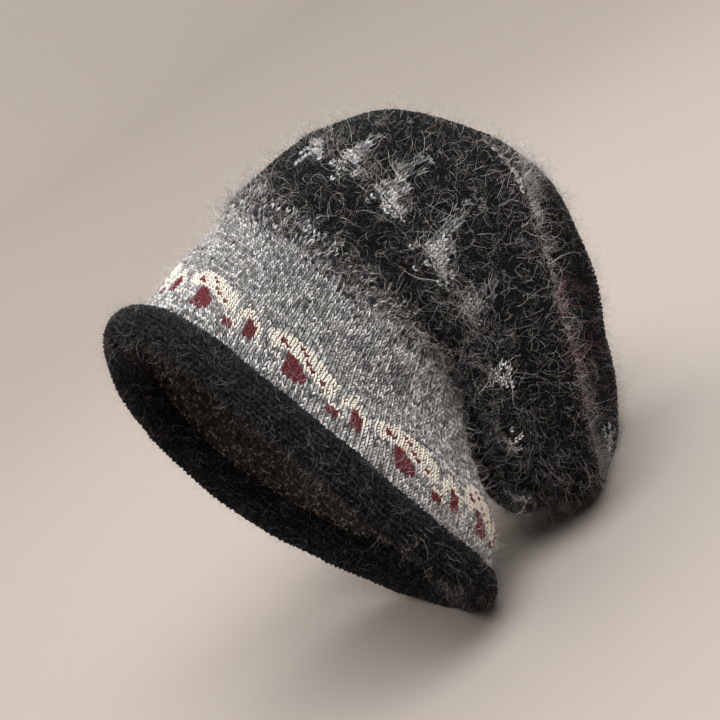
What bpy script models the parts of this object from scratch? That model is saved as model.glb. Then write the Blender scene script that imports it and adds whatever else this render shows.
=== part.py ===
"""A slouchy knitted beanie lying on its back: a black rolled brim, a grey side band and a mohair crown bag.

The hat is first drawn upright, head opening down, as a row of oval sections from the brim to the crown's
centre. It is then laid on its back, so that the brim's back and the bag's underside rest on the floor.
"""

import math
from collections import namedtuple

import bmesh
import bpy
import numpy as np

MM = 0.001
NAME = "slouchy_beanie"

# Driving sizes in millimetres and degrees
WALL = 3.0            # thickness of the knitted walls
SEAM_GAP = 0.3        # clearance between neighbouring pieces
BRIM_HALF_HEIGHT = 11.0
BRIM_HALF_THICK = 10.0
LEAN = 20.0           # how far the brim's plane leans from upright once the hat lies on its back
FLOOR_SINK = 4.5      # how deep the soft knit is pressed flat where it rests

# Facets
SEGMENTS = 72         # round the hat
BRIM_FACETS = 12      # round the brim's roll
BAND_STEPS = 3        # between two sections of the band
CROWN_STEPS = 2       # between two sections of the crown

# One oval section of the hat. back, up: its centre, behind and above the brim's middle.
# tilt_back, tilt_side: how far its plane leans to the back and to the near side. half_back, half_side: half
# its length front to back and side to side. wave: how far its front and back rise above its two sides.
Section = namedtuple("Section", "name back up tilt_back tilt_side half_back half_side wave")

BRIM_MIDDLE = Section("brim_middle", -4.0, -3.5, 5.0, 0.0, 125.0, 136.0, 8.0)

SECTIONS = [
    Section("toadstools", -7.0, 34.0, 5.0, 2.0, 118.0, 124.0, 8.0),
    Section("band_middle", -21.0, 63.0, 4.0, 6.0, 99.0, 108.0, 6.0),
    Section("band_upper", -31.0, 86.0, 3.0, 6.0, 86.0, 96.0, 4.0),
    Section("waist", -36.0, 101.0, 6.0, 6.0, 82.0, 92.0, 3.0),
    Section("bag_lower", -6.0, 115.0, 24.0, 9.0, 108.0, 106.0, -4.0),
    Section("strokes", 15.0, 118.0, 29.0, 11.0, 125.0, 112.0, -6.0),
    Section("bag_widest", 36.0, 136.0, 36.0, 12.0, 126.0, 118.0, -3.0),
    Section("ridge", 77.0, 160.0, 40.0, 20.0, 113.0, 113.0, 0.0),
    Section("top_edge", 95.0, 172.0, 40.0, 32.0, 100.0, 104.0, -2.0),
    Section("top_inner", 92.0, 170.0, 39.0, 44.0, 84.0, 84.0, 1.0),
    Section("dimple", 74.0, 156.0, 38.0, 44.0, 50.0, 46.0, 0.0),
    Section("gather", 57.0, 137.0, 40.0, 35.0, 10.0, 9.0, 0.0),
]
WAIST = 4             # place of the waist in the band's and crown's list, the band's first section counted
LAST = len(SECTIONS)

# A shallow valley across the far side of the bag's top. angle: where round the bag, from the back towards the
# near side. half_angle: half its width. depth: in millimetres. middle, reach: where along the sections.
Fold = namedtuple("Fold", "name angle half_angle depth middle reach")

FOLDS = [
    Fold("far_valley", -72.0, 24.0, 9.0, 9.2, 2.0),
]


def first_section():
    """The band's lowest section: the brim's middle section raised to sit on the crest of the roll."""
    lean = math.radians(BRIM_MIDDLE.tilt_back)
    rise = BRIM_HALF_HEIGHT + SEAM_GAP
    return BRIM_MIDDLE._replace(
        name="band_start",
        back=BRIM_MIDDLE.back + rise * math.sin(lean),
        up=BRIM_MIDDLE.up + rise * math.cos(lean),
    )


def section_numbers():
    """The sections as rows of numbers, from the band's start to the crown's gather."""
    rows = [first_section()] + SECTIONS
    return np.array([row[1:] for row in rows])


def section_at(rows, place):
    """The section at a place along the rows, on a smooth curve through all of them."""
    low = min(int(place), len(rows) - 2)
    part = place - low
    here, after = rows[low], rows[low + 1]
    before = rows[low - 1] if low > 0 else 2 * here - after
    beyond = rows[low + 2] if low + 2 < len(rows) else 2 * after - here
    return 0.5 * (
        2 * here
        + (after - before) * part
        + (2 * before - 5 * here + 4 * after - beyond) * part**2
        + (3 * here - before - 3 * after + beyond) * part**3
    )


def section_frame(tilt_back, tilt_side):
    """The section's own axes: towards its back, towards the near side, and along its normal."""
    back_lean, side_lean = math.radians(tilt_back), math.radians(tilt_side)
    back = np.array([math.cos(back_lean), 0.0, -math.sin(back_lean)])
    level_normal = np.array([math.sin(back_lean), 0.0, math.cos(back_lean)])
    side = np.array([0.0, -math.cos(side_lean), 0.0]) - math.sin(side_lean) * level_normal
    normal = math.cos(side_lean) * level_normal - np.array([0.0, math.sin(side_lean), 0.0])
    return back, side, normal


def oval(numbers, angles, grow=0.0, raise_by=0.0):
    """Points round one section, optionally grown outwards and raised along its normal."""
    centre_back, centre_up, tilt_back, tilt_side, half_back, half_side, wave = numbers
    back, side, normal = section_frame(tilt_back, tilt_side)
    centre = np.array([centre_back, 0.0, centre_up])
    return (
        centre
        + np.outer((half_back + grow) * np.cos(angles), back)
        + np.outer((half_side + grow) * np.sin(angles), side)
        + np.outer(wave * np.cos(2 * angles) + raise_by, normal)
    )


def fold_push(fold, place, angles):
    """How strongly a fold acts at a place and at each angle, from 0 to 1."""
    along = max(0.0, 1.0 - abs(place - fold.middle) / fold.reach)
    turn = (angles - math.radians(fold.angle) + math.pi) % math.tau - math.pi
    across = np.clip(1.0 - np.abs(turn) / math.radians(fold.half_angle), 0.0, 1.0)
    return (along * across) ** 2 * (3 - 2 * along * across)


def fabric_ring(rows, place, angles):
    """The outer face of the knit round the hat at one place between the brim and the gather."""
    numbers = section_at(rows, place)
    ring = oval(numbers, angles)
    inwards = numbers[0] * np.array([1.0, 0, 0]) + numbers[1] * np.array([0, 0, 1.0]) - ring
    inwards /= np.linalg.norm(inwards, axis=1)[:, None]
    for fold in FOLDS:
        ring += inwards * (fold.depth * fold_push(fold, place, angles))[:, None]
    return ring


def outward_normals(rows, place, angles):
    """Unit normals of the knit's outer face, from small steps along and round the hat."""
    step = 0.02
    low, high = max(place - step, 0.0), min(place + step, len(rows) - 1.0)
    along = fabric_ring(rows, high, angles) - fabric_ring(rows, low, angles)
    round_it = fabric_ring(rows, place, angles + step) - fabric_ring(rows, place, angles - step)
    normals = np.cross(along, round_it)
    return normals / np.linalg.norm(normals, axis=1)[:, None]


def lay_down(points):
    """Turns the upright hat onto its back: its crown along +X and its back downwards."""
    lean = math.radians(LEAN)
    back, across, up = points[:, 0], points[:, 1], points[:, 2]
    return np.stack([
        up * math.cos(lean) + back * math.sin(lean),
        across,
        up * math.sin(lean) - back * math.cos(lean),
    ], axis=1)


def wall_rings(rows, places, angles):
    """Outer and inner rings of a knitted wall, laid down, from its first place to its last."""
    outer, inner = [], []
    for place in places:
        ring = fabric_ring(rows, place, angles)
        outer.append(lay_down(ring))
        if place > 0:
            inner.append(lay_down(ring - WALL * outward_normals(rows, place, angles)))
        else:
            inner.append(lay_down(oval(rows[0], angles, grow=-WALL)))
    return outer, inner


def brim_rings(angles):
    """Rings along the brim's roll: an oval roll round the brim's middle section, laid down."""
    rings = []
    for turn in np.arange(BRIM_FACETS) * math.tau / BRIM_FACETS:
        grow = BRIM_HALF_THICK * math.cos(turn)
        raise_by = BRIM_HALF_HEIGHT * math.sin(turn)
        rings.append(lay_down(oval(BRIM_MIDDLE[1:], angles, grow, raise_by)))
    return rings


def press_on_floor(rings, floor, partners=None):
    """Presses points below the floor up to it. An inner wall moves as its outer partner does."""
    for index, ring in enumerate(rings):
        judge = ring if partners is None else partners[index]
        ring[:, 2] += np.maximum(floor - judge[:, 2], 0.0)


def loft(rings, closed):
    """A mesh through rings of equal count. closed joins the last ring to the first, else both ends get a fan."""
    mesh = bmesh.new()
    rows = [[mesh.verts.new(point * MM) for point in ring] for ring in rings]
    count = len(rings[0])
    pairs = list(zip(rows, rows[1:]))
    if closed:
        pairs.append((rows[-1], rows[0]))
    for lower, upper in pairs:
        for place in range(count):
            after = (place + 1) % count
            mesh.faces.new((lower[place], lower[after], upper[after], upper[place]))
    if not closed:
        for row in (rows[0], rows[-1]):
            middle = mesh.verts.new(sum((vert.co for vert in row), row[0].co * 0) / count)
            for place in range(count):
                mesh.faces.new((row[place], row[(place + 1) % count], middle))
    bmesh.ops.recalc_face_normals(mesh, faces=mesh.faces)
    return mesh


def material(name, colour, roughness):
    """A plain yarn material."""
    made = bpy.data.materials.new(name)
    made.use_nodes = True
    shader = made.node_tree.nodes["Principled BSDF"]
    shader.inputs["Base Color"].default_value = (*colour, 1.0)
    shader.inputs["Roughness"].default_value = roughness
    shader.inputs["Metallic"].default_value = 0.0
    return made


def add_piece(name, mesh, yarn, collection):
    """Turns a bmesh into a named, smooth-shaded object with its own material."""
    data = bpy.data.meshes.new(name)
    mesh.to_mesh(data)
    mesh.free()
    data.materials.append(yarn)
    data.shade_smooth()
    piece = bpy.data.objects.new(name, data)
    collection.objects.link(piece)
    return piece


def clear_scene():
    for found in list(bpy.data.objects):
        bpy.data.objects.remove(found, do_unlink=True)


def centre_on_floor(groups, floor):
    """Shifts all rings so that the hat's box is centred over the origin and the floor is at zero."""
    points = np.concatenate([ring for group in groups for ring in group])
    middle = (points.min(axis=0) + points.max(axis=0)) / 2
    for group in groups:
        for ring in group:
            ring -= np.array([middle[0], middle[1], floor])


def build():
    clear_scene()
    collection = bpy.data.collections.new(NAME)
    bpy.context.scene.collection.children.link(collection)

    rows = section_numbers()
    angles = np.arange(SEGMENTS) * math.tau / SEGMENTS
    seam = SEAM_GAP / 2 / np.linalg.norm(rows[WAIST + 1, :2] - rows[WAIST, :2])
    band_places = np.linspace(0.0, WAIST - seam, WAIST * BAND_STEPS + 1)
    crown_places = np.linspace(WAIST + seam, LAST, (LAST - WAIST) * CROWN_STEPS + 1)

    brim = brim_rings(angles)
    band_outer, band_inner = wall_rings(rows, band_places, angles)
    crown_outer, crown_inner = wall_rings(rows, crown_places, angles)

    groups = [brim, band_outer, band_inner, crown_outer, crown_inner]
    floor = min(ring[:, 2].min() for ring in brim + crown_outer) + FLOOR_SINK
    press_on_floor(band_inner, floor, band_outer)
    press_on_floor(crown_inner, floor, crown_outer)
    for group in (brim, band_outer, crown_outer):
        press_on_floor(group, floor)
    centre_on_floor(groups, floor)

    black_wool = material("black_wool", (0.012, 0.012, 0.013), 0.95)
    grey_marl = material("grey_marl", (0.25, 0.25, 0.25), 0.95)
    black_mohair = material("black_mohair", (0.018, 0.018, 0.02), 0.9)
    add_piece("brim", loft(brim, closed=True), black_wool, collection)
    add_piece("band", loft(band_outer + band_inner[::-1], closed=True), grey_marl, collection)
    add_piece("crown", loft(crown_outer[::-1] + crown_inner, closed=False), black_mohair, collection)


build()
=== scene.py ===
"""Slouchy beanie lying on its back: knits the brim, band and crown stitch by stitch, brushes up their fibres
and sets the studio round them.
"""

import math
from collections import namedtuple

import bmesh
import bpy
import numpy as np
from mathutils import Matrix, Vector


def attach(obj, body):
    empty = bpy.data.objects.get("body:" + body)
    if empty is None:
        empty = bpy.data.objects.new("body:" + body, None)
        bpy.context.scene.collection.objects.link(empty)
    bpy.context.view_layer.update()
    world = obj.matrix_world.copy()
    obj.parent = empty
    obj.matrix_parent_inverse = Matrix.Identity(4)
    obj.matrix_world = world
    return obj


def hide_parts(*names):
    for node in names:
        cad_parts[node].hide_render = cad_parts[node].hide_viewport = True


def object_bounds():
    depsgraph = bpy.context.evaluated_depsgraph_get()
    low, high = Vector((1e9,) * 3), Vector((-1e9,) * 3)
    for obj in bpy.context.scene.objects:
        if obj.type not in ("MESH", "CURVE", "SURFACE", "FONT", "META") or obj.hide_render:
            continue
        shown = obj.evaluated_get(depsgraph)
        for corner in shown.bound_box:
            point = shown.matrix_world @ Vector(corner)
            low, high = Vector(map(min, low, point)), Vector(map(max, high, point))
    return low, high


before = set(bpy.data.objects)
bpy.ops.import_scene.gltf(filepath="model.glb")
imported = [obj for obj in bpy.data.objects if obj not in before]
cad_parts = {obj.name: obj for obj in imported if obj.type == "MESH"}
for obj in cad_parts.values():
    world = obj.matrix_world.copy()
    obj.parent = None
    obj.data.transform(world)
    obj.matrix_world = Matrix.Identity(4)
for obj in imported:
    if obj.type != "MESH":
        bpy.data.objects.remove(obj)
CAD_BOX = np.array(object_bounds())

bl_info = {
    "name": "Slouchy beanie",
    "version": (1, 0, 0),
    "blender": (4, 5, 0),
    "location": "View3D > Sidebar > Beanie",
    "description": "Knits a slouchy mohair beanie with toadstools and sets a soft studio round it",
    "category": "Add Mesh",
}

MM = 0.001

# The hat's form, in millimetres and degrees, as the solids have it
WALL = 3.0
SEAM_GAP = 0.3
BRIM_HALF_HEIGHT = 11.0
BRIM_HALF_THICK = 10.0
LEAN = 20.0
FLOOR_SINK = 4.5
SEGMENTS = 72            # points round the hat in the solids
ROLL_SEGMENTS = 12       # points round the brim's roll
BAND_LOOPS = 13          # loops of points up the band, and up the bag
BAG_LOOPS = 17

Section = namedtuple("Section", "name back up tilt_back tilt_side half_back half_side wave")

BRIM_MIDDLE = Section("brim_middle", -4.0, -3.5, 5.0, 0.0, 125.0, 136.0, 8.0)

SECTIONS = [
    Section("toadstools", -7.0, 34.0, 5.0, 2.0, 118.0, 124.0, 8.0),
    Section("band_middle", -21.0, 63.0, 4.0, 6.0, 99.0, 108.0, 6.0),
    Section("band_upper", -31.0, 86.0, 3.0, 6.0, 86.0, 96.0, 4.0),
    Section("waist", -36.0, 101.0, 6.0, 6.0, 82.0, 92.0, 3.0),
    Section("bag_lower", -6.0, 115.0, 24.0, 9.0, 108.0, 106.0, -4.0),
    Section("strokes", 15.0, 118.0, 29.0, 11.0, 125.0, 112.0, -6.0),
    Section("bag_widest", 36.0, 136.0, 36.0, 12.0, 126.0, 118.0, -3.0),
    Section("ridge", 77.0, 160.0, 40.0, 20.0, 113.0, 113.0, 0.0),
    Section("top_edge", 95.0, 172.0, 40.0, 32.0, 100.0, 104.0, -2.0),
    Section("top_inner", 92.0, 170.0, 39.0, 44.0, 84.0, 84.0, 1.0),
    Section("dimple", 74.0, 156.0, 38.0, 44.0, 50.0, 46.0, 0.0),
    Section("gather", 57.0, 137.0, 40.0, 35.0, 10.0, 9.0, 0.0),
]

# A place on the knit is a number along the table: 0 at the brim, then 1 at its first row, and so on.
WAIST = 4.0
RIDGE = 8.0
LAST = float(len(SECTIONS))

Fold = namedtuple("Fold", "name angle half_angle depth middle reach")

FOLDS = [
    Fold("far_valley", -72.0, 24.0, 9.0, 9.2, 2.0),
]

# The toadstools' chart, a letter for each stitch, read from the top row down: c is the cream of the caps,
# r the dark red of the stems and spots.
TOADSTOOL_TOP_ROW = 16
CHART_START = 72         # the wale where one repeat starts
TOADSTOOLS = [
    "...ccccc............",
    "..cccrcccc......c...",
    ".cccccrccccc........",
    "ccrcccccccccc..c....",
    "ccrrcccrccccc..cc...",
    "ccccccccrcccc.cccc..",
    "ccc.rr.cccrcc.ccrcc.",
    ".c..rrr..cccc.c.rrc.",
    "....rrrr...c..c.rrc.",
    "....rrrr....cc..rr..",
    "....rrrr....rrc.rr.c",
    "....rrr.....rr......",
]

# One light stroke of the bag, read from its top row down: a hash for a light stitch, a plus for a dim one.
STROKE_CHART = [
    "......+..",
    "......+..",
    ".....+...",
    ".....++..",
    "....++...",
    "....++.+.",
    "....+++..",
    "...++#+..",
    "...+##+..",
    "..+##++..",
    "..+###+..",
    "..####+..",
    ".+#####..",
    ".####.#+.",
    "+###.##..",
    "###.##.#.",
    "##.##..#.",
    "#..##..+.",
    "#...#....",
    "....#....",
]
CHART_DIM = 0.4          # how light a dim stitch is

# The light strokes. Each runs from one place and angle to another, with angles in degrees from the back
# towards the near side, and widths in millimetres.
Stroke = namedtuple("Stroke", "name place angle end_place end_angle width light")

STROKES = [
    Stroke("near_1", 4.7, 162.0, 6.1, 171.0, 24.6, 0.9),
    Stroke("near_2", 4.85, 144.0, 6.8, 154.0, 26.6, 1.0),
    Stroke("near_3", 4.8, 123.0, 7.1, 139.0, 28.7, 1.0),
    Stroke("near_4", 4.9, 103.0, 7.2, 120.0, 28.7, 1.0),
    Stroke("near_5", 5.3, 92.0, 7.0, 99.0, 24.6, 0.6),
    Stroke("near_6", 6.5, 77.0, 4.85, 69.0, 17.0, 1.6),
    Stroke("near_7", 6.2, 58.0, 4.9, 36.0, 15.0, 1.7),
    Stroke("near_8", 6.4, 30.0, 5.5, 14.0, 15.0, 1.7),
    Stroke("back_1", 4.9, -12.0, 6.8, -6.0, 24.6, 0.8),
    Stroke("back_2", 4.9, -33.0, 6.9, -28.0, 25.6, 0.9),
    Stroke("far_1", 4.9, -52.0, 7.0, -58.0, 26.6, 1.0),
    Stroke("far_2", 4.9, -71.0, 7.0, -80.0, 27.7, 1.0),
    Stroke("far_3", 4.8, -91.0, 7.1, -101.0, 28.7, 1.0),
    Stroke("far_4", 4.85, -111.0, 7.1, -122.0, 28.7, 1.0),
    Stroke("far_5", 4.9, -132.0, 7.0, -143.0, 27.7, 1.0),
    Stroke("far_6", 4.8, -152.0, 6.8, -160.0, 26.6, 1.0),
    Stroke("far_7", 4.75, -172.0, 6.4, -177.0, 24.6, 0.9),
    Stroke("on_the_far_lobe", 10.1, -22.0, 9.5, 8.0, 14.0, 1.0),
    Stroke("along_the_ridge", 8.15, 134.0, 7.8, 158.0, 13.0, 0.9),
]
PLACE_LENGTH = 36.0      # how far apart two places of the bag lie, in millimetres
DEGREE_LENGTH = 2.1      # how far apart two wales a degree apart lie, in millimetres

# How far the wales drift round the hat on their way up, in degrees, at a few places. The knit turns
# towards the back up to the waist, and turns back again over the bag.
Drift = namedtuple("Drift", "place turn")

DRIFTS = [
    Drift(0.0, 0.0),
    Drift(1.0, 0.5),
    Drift(2.0, 8.0),
    Drift(4.0, 22.0),
    Drift(5.5, 11.0),
    Drift(7.0, -4.0),
    Drift(12.0, -4.0),
]

# Soft lumps of the bag: a middle and a reach along the knit, a middle and a reach round the hat in radians,
# and a height in millimetres.
Lump = namedtuple("Lump", "place place_reach turn turn_reach height")

RIPPLES = Lump(5.3, 1.3, 0.9, 1.2, 2.6)
RIPPLE_COUNT = 16
RIPPLE_START = 0.55
RIDGE_CREST = Lump(7.9, 0.5, 1.7, 1.4, 1.5)
GATHER_PLACE = 11.4
GATHER_REACH = 1.5
GATHER_PULL = -6.0

AXIS_STEP = 0.02         # how far off the points are that show the knit's directions
CLEARANCE = 0.1          # how far off the floor the knit stays, in millimetres

# The closed sheets behind the stitches: how far they lie under the knit's outer face, in millimetres, how
# much darker they are painted than their yarn, as painted shade in the gaps between the stitches, and how
# many faces they have round the hat and along it
BRIM_BACKING_DEPTH = 0.5
BACKING_DEPTH = 0.55
BACKING_PAINTED_SHADE = 0.6
MARL_BACKING_PAINTED_SHADE = 0.08
BRIM_SHEET = (108, 20)
BAND_SHEET = (108, 32)
BAG_SHEET = (120, 76)
MERGE_DISTANCE = 0.00001


def signed_turn(angles):
    """Angles brought between minus and plus half a turn."""
    return (angles + math.pi) % math.tau - math.pi


def swell(values, middle, reach):
    """A smooth hump, one at its middle and zero beyond its reach."""
    away = np.clip(np.abs(values - middle) / reach, 0.0, 1.0)
    return (1 - away * away) ** 2


# Form of the hat

def first_section():
    """The band's lowest section, on the crest of the brim's roll."""
    lean = math.radians(BRIM_MIDDLE.tilt_back)
    rise = BRIM_HALF_HEIGHT + SEAM_GAP
    return BRIM_MIDDLE._replace(
        name="band_start",
        back=BRIM_MIDDLE.back + rise * math.sin(lean),
        up=BRIM_MIDDLE.up + rise * math.cos(lean),
    )


SECTION_ROWS = np.array([row[1:] for row in [first_section()] + SECTIONS])


def sections_at(places):
    """The section at each place, on a smooth curve through the table's rows."""
    rows = SECTION_ROWS
    low = np.minimum(places.astype(int), len(rows) - 2)
    part = (places - low)[:, None]
    here, after = rows[low], rows[low + 1]
    before = np.where((low > 0)[:, None], rows[low - 1], 2 * here - after)
    beyond = rows[np.minimum(low + 2, len(rows) - 1)]
    beyond = np.where((low + 2 < len(rows))[:, None], beyond, 2 * after - here)
    return 0.5 * (
        2 * here
        + (after - before) * part
        + (2 * before - 5 * here + 4 * after - beyond) * part**2
        + (3 * here - before - 3 * after + beyond) * part**3
    )


def oval_points(numbers, angles, grow=0.0, raise_by=0.0):
    """Points on the upright hat's sections, one for each angle."""
    centre_back, centre_up, tilt_back, tilt_side, half_back, half_side, wave = numbers.T
    back_lean, side_lean = np.radians(tilt_back), np.radians(tilt_side)
    zero = np.zeros_like(back_lean)
    back = np.stack([np.cos(back_lean), zero, -np.sin(back_lean)], axis=1)
    level = np.stack([np.sin(back_lean), zero, np.cos(back_lean)], axis=1)
    across = np.stack([zero, -np.cos(side_lean), zero], axis=1) - np.sin(side_lean)[:, None] * level
    normal = np.cos(side_lean)[:, None] * level - np.stack([zero, np.sin(side_lean), zero], axis=1)
    centre = np.stack([centre_back, zero, centre_up], axis=1)
    return (
        centre
        + ((half_back + grow) * np.cos(angles))[:, None] * back
        + ((half_side + grow) * np.sin(angles))[:, None] * across
        + (wave * np.cos(2 * angles) + raise_by)[:, None] * normal
    )


def lay_down(points):
    """Turns the upright hat onto its back."""
    lean = math.radians(LEAN)
    back, across, up = points.T
    return np.stack([
        up * math.cos(lean) + back * math.sin(lean),
        across,
        up * math.sin(lean) - back * math.cos(lean),
    ], axis=1)


def knit_surface(places, angles):
    """The knit's outer face in millimetres, before the hat is set on the floor."""
    numbers = sections_at(places)
    points = oval_points(numbers, angles)
    inwards = np.stack([numbers[:, 0], np.zeros(len(places)), numbers[:, 1]], axis=1) - points
    inwards /= np.linalg.norm(inwards, axis=1)[:, None]
    for fold in FOLDS:
        along = np.maximum(0.0, 1.0 - np.abs(places - fold.middle) / fold.reach)
        turn = signed_turn(angles - math.radians(fold.angle))
        across = np.clip(1.0 - np.abs(turn) / math.radians(fold.half_angle), 0.0, 1.0)
        push = (along * across) ** 2 * (3 - 2 * along * across)
        points += inwards * (fold.depth * push)[:, None]
    return lay_down(points)


def roll_surface(turns, angles):
    """The brim's roll in millimetres: turns go round the roll, angles round the hat."""
    numbers = np.repeat(np.array([BRIM_MIDDLE[1:]]), len(angles), axis=0)
    grow, raise_by = BRIM_HALF_THICK * np.cos(turns), BRIM_HALF_HEIGHT * np.sin(turns)
    return lay_down(oval_points(numbers, angles, grow, raise_by))


def resting_offset():
    """The point of the laid-down hat that becomes the origin: mid box in X and Y, floor in Z."""
    angles = np.arange(SEGMENTS) * math.tau / SEGMENTS
    turns = np.arange(ROLL_SEGMENTS) * math.tau / ROLL_SEGMENTS
    roll = roll_surface(np.repeat(turns, SEGMENTS), np.tile(angles, len(turns)))
    places = np.concatenate([np.linspace(0, WAIST, BAND_LOOPS), np.linspace(WAIST, LAST, BAG_LOOPS)])
    bag = knit_surface(np.repeat(places, SEGMENTS), np.tile(angles, len(places)))
    points = np.concatenate([roll, bag])
    middle = (points.min(axis=0) + points.max(axis=0)) / 2
    return np.array([middle[0], middle[1], points[:, 2].min() + FLOOR_SINK])


ORIGIN = resting_offset()


def wale_angles(places, wale_turns):
    """Where a wale stands round the hat, in radians, at each place on its way up."""
    drift_places, drift_turns = zip(*DRIFTS)
    turn = np.radians(np.interp(places, drift_places, drift_turns))
    return wale_turns - turn * (np.sin(wale_turns) + 0.25 * np.sin(2 * wale_turns))


def lump_height(lump, places, turn):
    """How high a lump stands at given places and turns, in millimetres."""
    along = swell(places, lump.place, lump.place_reach)
    return lump.height * along * swell(turn, lump.turn, lump.turn_reach)


def lumps(places, angles):
    """How far the soft knit stands off its plain form, in millimetres.

    It is slightly uneven everywhere. Soft ripples run between the strokes on the bag's underside, the ridge
    stands proud on the near side, and the gather pulls the middle of the bag's top in.
    """
    turn = signed_turn(angles)
    uneven = 0.5 * np.sin(5 * angles + 1.7 * places) + 0.4 * np.sin(9 * angles - 2.9 * places + 1.0)
    ripples = lump_height(RIPPLES, places, turn) * np.cos(RIPPLE_COUNT * (turn - RIPPLE_START))
    ridge = lump_height(RIDGE_CREST, places, turn)
    gather = GATHER_PULL * swell(places, GATHER_PLACE, GATHER_REACH)
    return uneven + ripples + ridge + gather


def unit(vectors):
    """The vectors, each brought to a length of one."""
    return vectors / np.maximum(np.linalg.norm(vectors, axis=1), 1e-9)[:, None]


def knit_axes(places, angles):
    """Unit vectors of the knit: along the wales towards the gather, round the hat, and outwards."""
    low, high = np.maximum(places - AXIS_STEP, 0.0), np.minimum(places + AXIS_STEP, LAST)
    along = unit(knit_surface(high, angles) - knit_surface(low, angles))
    around = unit(knit_surface(places, angles + AXIS_STEP) - knit_surface(places, angles - AXIS_STEP))
    return along, around, unit(np.cross(along, around))


def roll_axes(turns, angles):
    """Unit vectors of the brim's roll: round the roll, round the hat, and outwards."""
    along = unit(roll_surface(turns + AXIS_STEP, angles) - roll_surface(turns - AXIS_STEP, angles))
    around = unit(roll_surface(turns, angles + AXIS_STEP) - roll_surface(turns, angles - AXIS_STEP))
    return along, around, unit(np.cross(along, around))


def set_on_floor(points):
    """Moves laid-down points into the scene, in metres, pressed flat where they would sink into the floor."""
    placed = points - ORIGIN
    placed[:, 2] = np.maximum(placed[:, 2], CLEARANCE)
    return placed * MM


def knit_points(places, angles, heights):
    """Points at given heights off the knit's outer face, in metres."""
    normals = knit_axes(places, angles)[2]
    lift = heights + lumps(places, angles)
    return set_on_floor(knit_surface(places, angles) + normals * lift[:, None])


def knit_stitches(place_rows, rows, wale_turns, heights):
    """Points of stitches, given by row and by wale, at given heights off the knit's outer face."""
    places = np.interp(rows, np.arange(len(place_rows)), place_rows)
    return knit_points(places, wale_angles(places, wale_turns), heights)


def roll_points(turns, angles, heights):
    """Points at given heights off the brim's roll, in metres."""
    normals = roll_axes(turns, angles)[2]
    dents = 0.35 * np.sin(7 * angles + 2 * np.sin(turns)) + 0.3 * np.sin(17 * angles + 3 * turns)
    return set_on_floor(roll_surface(turns, angles) + normals * (heights + dents)[:, None])


def row_places(row_height):
    """The place of each row of stitches, evenly spaced along the knit's mean length."""
    stations, lines = 481, 24
    places = np.linspace(0.0, LAST, stations)
    angles = np.linspace(0.0, math.tau, lines, endpoint=False)
    length = np.zeros(len(places))
    for angle in angles:
        line = knit_surface(places, np.full(len(places), angle))
        steps = np.linalg.norm(np.diff(line, axis=0), axis=1)
        length[1:] += np.cumsum(steps) / len(angles)
    count = int(length[-1] / row_height)
    return np.interp(np.arange(count + 1) * row_height, length, places)


# Mesh building

def link_object(name, data, colours):
    """Puts a mesh into the scene as an object, smoothly shaded, with a yarn colour at each point."""
    layer = data.color_attributes.new("yarn", "FLOAT_COLOR", "POINT")
    filled = np.ones((len(colours), 4), dtype=np.float32)
    filled[:, :3] = colours
    layer.data.foreach_set("color", filled.ravel())
    data.shade_smooth()
    made = bpy.data.objects.new(name, data)
    bpy.context.scene.collection.objects.link(made)
    return made


def mesh_object(name, points, faces, colours):
    """A mesh object from arrays of points and equal-sided faces, with a yarn colour at each point."""
    data = bpy.data.meshes.new(name)
    sides = faces.shape[1]
    data.vertices.add(len(points))
    data.vertices.foreach_set("co", points.astype(np.float32).ravel())
    data.loops.add(faces.size)
    data.loops.foreach_set("vertex_index", faces.astype(np.int32).ravel())
    data.polygons.add(len(faces))
    data.polygons.foreach_set("loop_start", np.arange(len(faces), dtype=np.int32) * sides)
    data.update(calc_edges=True)
    return link_object(name, data, colours)


def sheet_data(name, sheet):
    """Mesh data of a finished sheet, which is freed."""
    data = bpy.data.meshes.new(name)
    sheet.to_mesh(data)
    sheet.free()
    return data


def wrapped_sheet(name, size, place_points, colour):
    """A grid wrapped round the hat in one colour: columns go round it, rows go along it and back inside."""
    columns, rows = size
    sheet = bmesh.new()
    bmesh.ops.create_grid(sheet, x_segments=columns, y_segments=rows, size=0.5)
    flat = np.array([vert.co for vert in sheet.verts]) + 0.5
    points = place_points(flat[:, 0] * math.tau, flat[:, 1])
    for vert, point in zip(sheet.verts, points):
        vert.co = point
    bmesh.ops.remove_doubles(sheet, verts=sheet.verts, dist=MERGE_DISTANCE)
    bmesh.ops.recalc_face_normals(sheet, faces=sheet.faces)
    data = sheet_data(name, sheet)
    return link_object(name, data, np.tile(colour, (len(data.vertices), 1)))


def backing_heights(share):
    """Heights of a sheet that runs up just under the stitches and back down the knit's inner face."""
    nearly_round = 0.999
    outer = (share < 0.5) | (share > nearly_round)
    return np.where(outer, -BACKING_DEPTH, -WALL)


# What each finish of the hat is knitted from: its material's name, the setting for its hairs' colour, how
# much they cover, and the looks of its surface
Finish = namedtuple("Finish", "slot yarn hairs hair_share roughness sheen fibre_scale hair_width relief")

FINISHES = [
    Finish("black_wool", "brim_yarn", "hair", 0.02, 0.95, 0.01, 900.0, 0.02, 0.6),
    Finish("grey_marl", "band_yarn", "marl_hair", 0.12, 0.9, 0.05, 900.0, 0.02, 0.5),
    Finish("black_mohair", "bag_yarn", "hair", 0.03, 0.9, 0.02, 700.0, 0.022, 0.7),
]
YARNS = {finish.slot: finish.yarn for finish in FINISHES}


def dress(piece, finish, node):
    """Gives a piece its yarn, lets it ride on the hat, and hides the solid that it stands for."""
    piece.data.materials.append(bpy.data.materials[YARNS[finish]])
    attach(piece, "root")
    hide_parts(node)


# Stitches

# A point of a stitch seen from above: how far along the row and the wale, how high, and how light its yarn
# is painted there, in stitches, millimetres and a share. The light share paints a highlight on the yarn's
# crest and shade at its edges.
YarnPoint = namedtuple("YarnPoint", "across along height light")


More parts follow.
